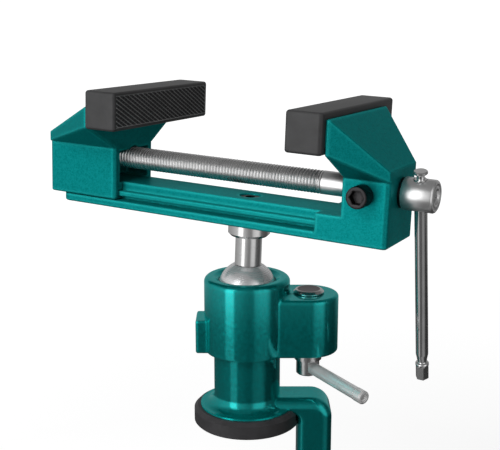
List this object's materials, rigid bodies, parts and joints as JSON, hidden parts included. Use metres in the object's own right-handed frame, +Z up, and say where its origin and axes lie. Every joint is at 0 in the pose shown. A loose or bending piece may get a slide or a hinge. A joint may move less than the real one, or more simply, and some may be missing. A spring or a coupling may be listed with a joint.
{
  "type": "ball joint bench vise",
  "caption": "Small bench vise on a lockable ball joint, with soft jaw caps, a lead screw and a screw clamp for the edge of a table.",
  "frame": {"origin": "centre of the base pad's underside, where it rests on the table top", "axes": "+Z up; +X over the table's edge, towards the frame's leg and the locking lever's ear; the beam's direction is turned 28.3 degrees clockwise of +X and leans 2 degrees on the ball"},
  "size_m": [0.1692, 0.1167, 0.2763],
  "materials": {
    "satin_teal": "die-cast aluminium with satin teal enamel",
    "gloss_teal": "die-cast aluminium with gloss teal enamel",
    "black_rubber": "moulded, with a diamond grip on the jaw faces",
    "black_steel": "black oxide",
    "bright_steel": "turned and polished",
    "bronze": "turned",
    "black_plastic": "moulded"
  },
  "bodies": {
    "base": {"column_frame": "gloss_teal", "socket_housing": "gloss_teal", "base_pad": "black_rubber", "housing_set_screw": "black_steel"},
    "seat": {"ball_seat": "bronze"},
    "swivel_ball": {"ball": "bright_steel"},
    "head": {"ball_stud": "bright_steel", "stud_screw": "black_steel", "jaw_beam": "satin_teal", "fixed_jaw_cap": "black_rubber", "spindle_lock_screw": "black_steel", "thrust_washer": "black_steel"},
    "sliding_jaw": {"moving_jaw": "satin_teal", "moving_jaw_cap": "black_rubber", "spindle_nut": "bronze"},
    "screw": {"spindle": "bright_steel"},
    "handle_bar": {"tommy_bar": "bright_steel", "tommy_bar_cap": "bright_steel"},
    "lock_lever": {"cam_shaft": "bright_steel", "lever_hub": "bright_steel", "lever_rod": "bright_steel", "lever_tip": "bright_steel"},
    "brake": {"brake_shoe": "bronze"},
    "foot": {"clamp_foot": "bright_steel", "clamp_foot_pad": "black_rubber"},
    "table_screw": {"clamp_screw": "bright_steel"},
    "table_bar": {"clamp_bar": "bright_steel", "clamp_bar_knobs": "black_plastic"}
  },
  "joints": [
    {"name": "ball_swivel", "type": "hinge", "parent": "base", "child": "seat", "pos_m": [0, 0, 0.0615], "axis": [0, 0, 1], "continuous": true},
    {"name": "ball_tilt", "type": "hinge", "parent": "seat", "child": "swivel_ball", "pos_m": [0, 0, 0.0615], "axis": [0, 1, 0], "range_deg": [-42, 38]},
    {"name": "ball_spin", "type": "hinge", "parent": "swivel_ball", "child": "head", "pos_m": [0, 0, 0.0615], "axis": [0.0349, 0, 0.9994], "continuous": true},
    {"name": "spindle_turn", "type": "hinge", "parent": "head", "child": "screw", "pos_m": [0.06887, -0.03613, 0.11113], "axis": [-0.8799, 0.4741, 0.0307], "range_deg": [-361, 18721]},
    {"name": "jaw_slide", "type": "slide", "parent": "head", "child": "sliding_jaw", "axis": [0.8799, -0.4741, -0.0307], "range_m": [-0.0015, 0.078]},
    {"name": "handle_slide", "type": "slide", "parent": "screw", "child": "handle_bar", "axis": [-0.0808, -0.213, 0.9737], "range_m": [-0.0019, 0.071]},
    {"name": "lever_turn", "type": "hinge", "parent": "base", "child": "lock_lever", "pos_m": [0.0273, 0, 0.0252], "axis": [0, 0, 1], "range_deg": [0, 110]},
    {"name": "brake_slide", "type": "slide", "parent": "base", "child": "brake", "axis": [1, 0, 0], "range_m": [0, 0.00026]},
    {"name": "foot_slide", "type": "slide", "parent": "base", "child": "foot", "axis": [0, 0, 1], "range_m": [-0.0195, 0.03]},
    {"name": "table_screw_turn", "type": "hinge", "parent": "foot", "child": "table_screw", "pos_m": [0, 0, -0.08], "axis": [0, 0, 1], "range_deg": [-4681, 7201]},
    {"name": "table_bar_slide", "type": "slide", "parent": "table_screw", "child": "table_bar", "axis": [1, 0, 0], "range_m": [-0.0295, 0.0295]}
  ],
  "couplings": [
    {"joint": "spindle_turn", "follows": "jaw_slide", "rad_per_m": 4188.8},
    {"joint": "brake_slide", "follows": "lever_turn", "m_per_rad": 0.00013022},
    {"joint": "table_screw_turn", "follows": "foot_slide", "rad_per_m": 4188.8}
  ]
}
